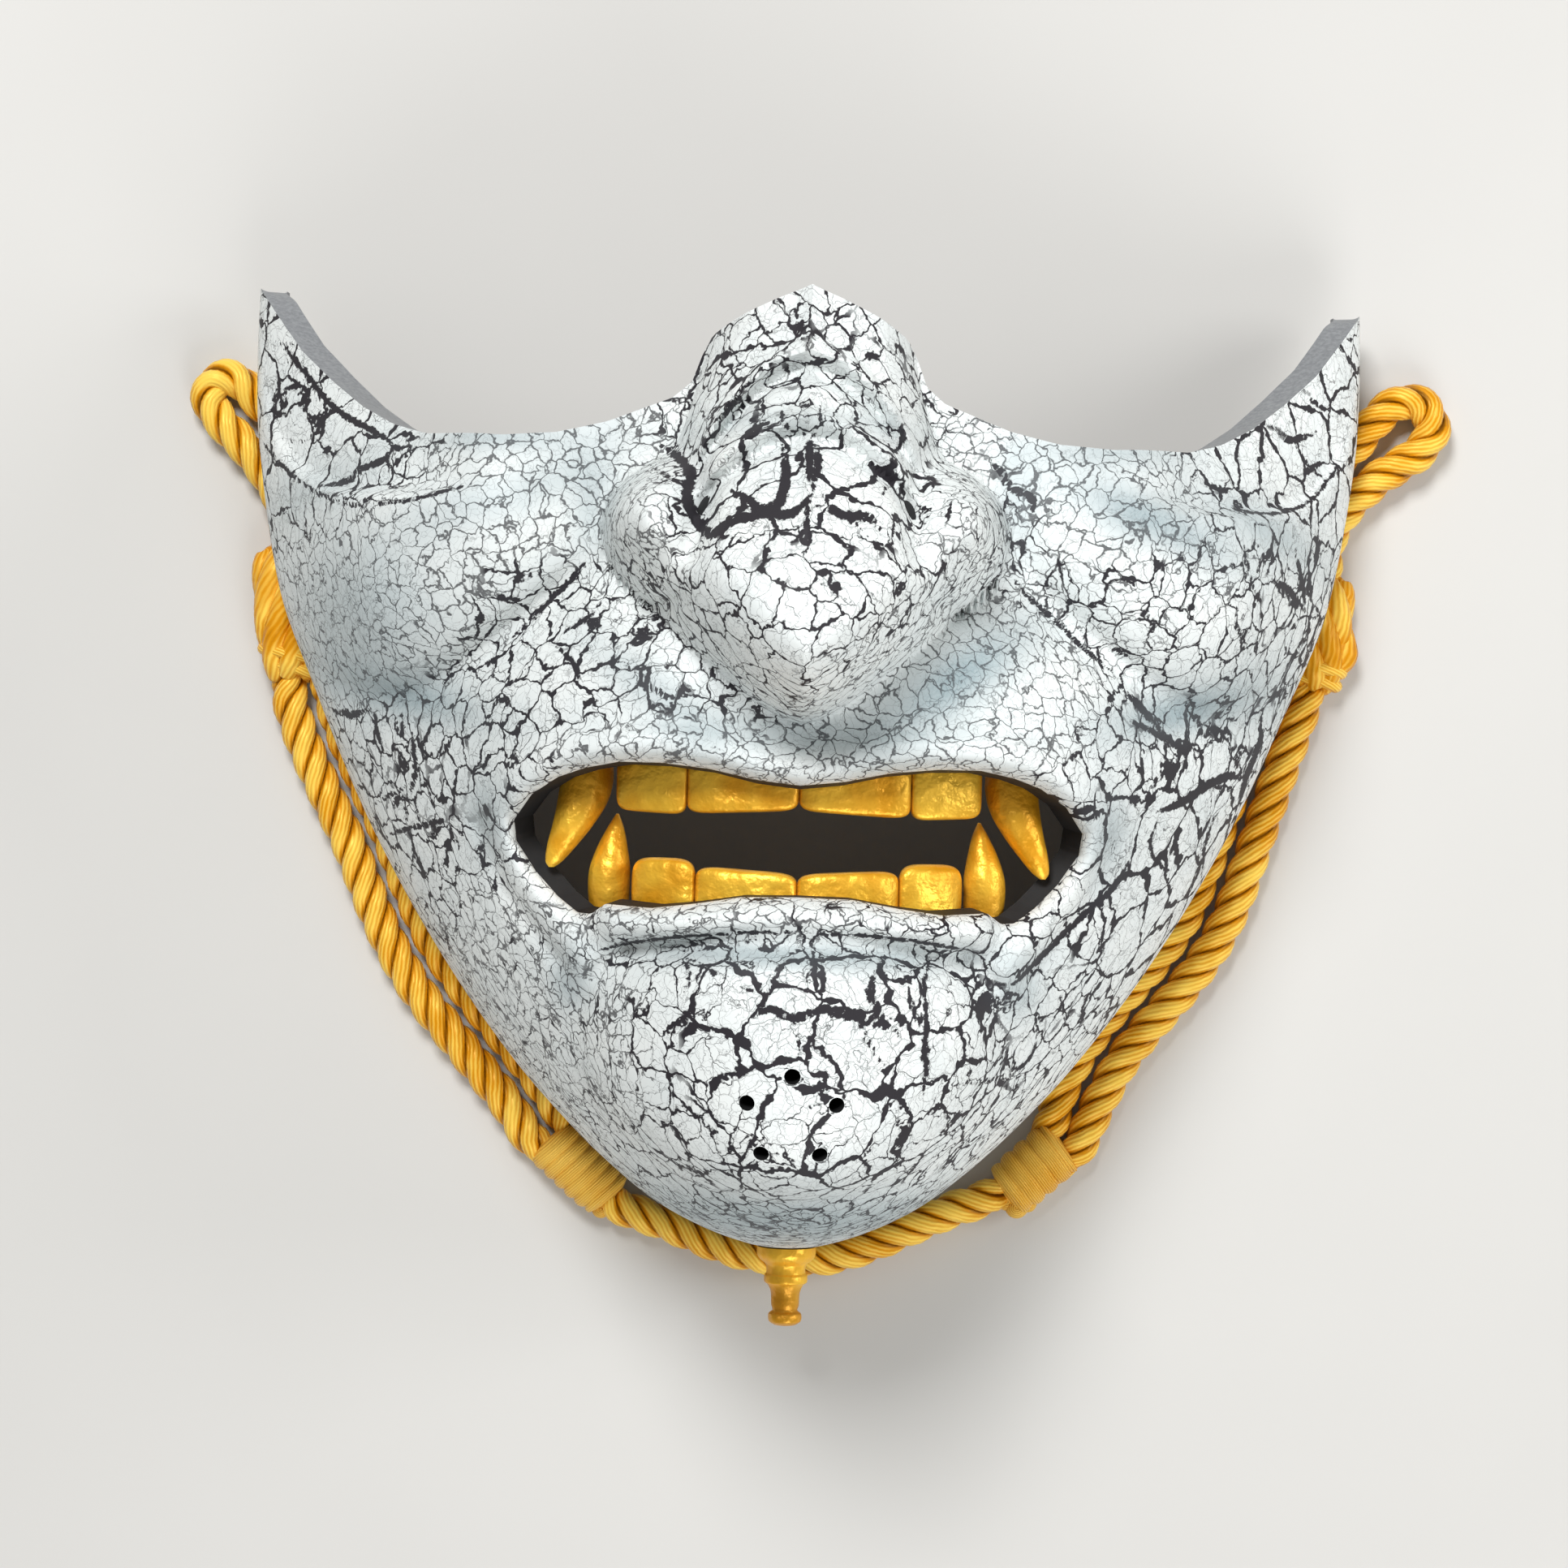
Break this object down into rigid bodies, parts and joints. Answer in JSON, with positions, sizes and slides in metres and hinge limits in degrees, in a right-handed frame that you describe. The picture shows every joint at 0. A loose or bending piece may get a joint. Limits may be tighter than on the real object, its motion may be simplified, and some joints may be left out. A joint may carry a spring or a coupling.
{
  "type": "half-mask face guard",
  "caption": "Hollow half mask with nose, cheeks and open mouth in crackled paint, gilt teeth and fangs, a turned chin peg and a twisted tie rope round its rim.",
  "frame": {"origin": "middle of the mask's own box, without the rope, on the surface its back rim rests on", "axes": "+X across the face, +Y from the chin peg to the nose bridge, +Z out of the face, away from the surface"},
  "size_m": [0.2038, 0.1626, 0.1064],
  "materials": {
    "paint": "white crackle paint over a dark ground, satin",
    "gilt": "gold pearl paint",
    "rope": "golden silk-like yarn, twisted from three strands",
    "thread": "golden thread, wound and glued"
  },
  "bodies": {
    "root": {"mask_shell": "paint", "upper_teeth": "gilt", "upper_fang_left": "gilt", "upper_fang_right": "gilt", "lower_teeth": "gilt", "lower_fang_left": "gilt", "lower_fang_right": "gilt", "chin_peg": "gilt", "rope_chin": "rope", "rope_left_inner": "rope", "rope_left_outer": "rope", "rope_left_loop": "rope", "rope_right_inner": "rope", "rope_right_outer": "rope", "rope_right_loop": "rope", "whipping_left": "thread", "whipping_right": "thread", "knot_left": "rope", "knot_right": "rope"}
  },
  "joints": []
}
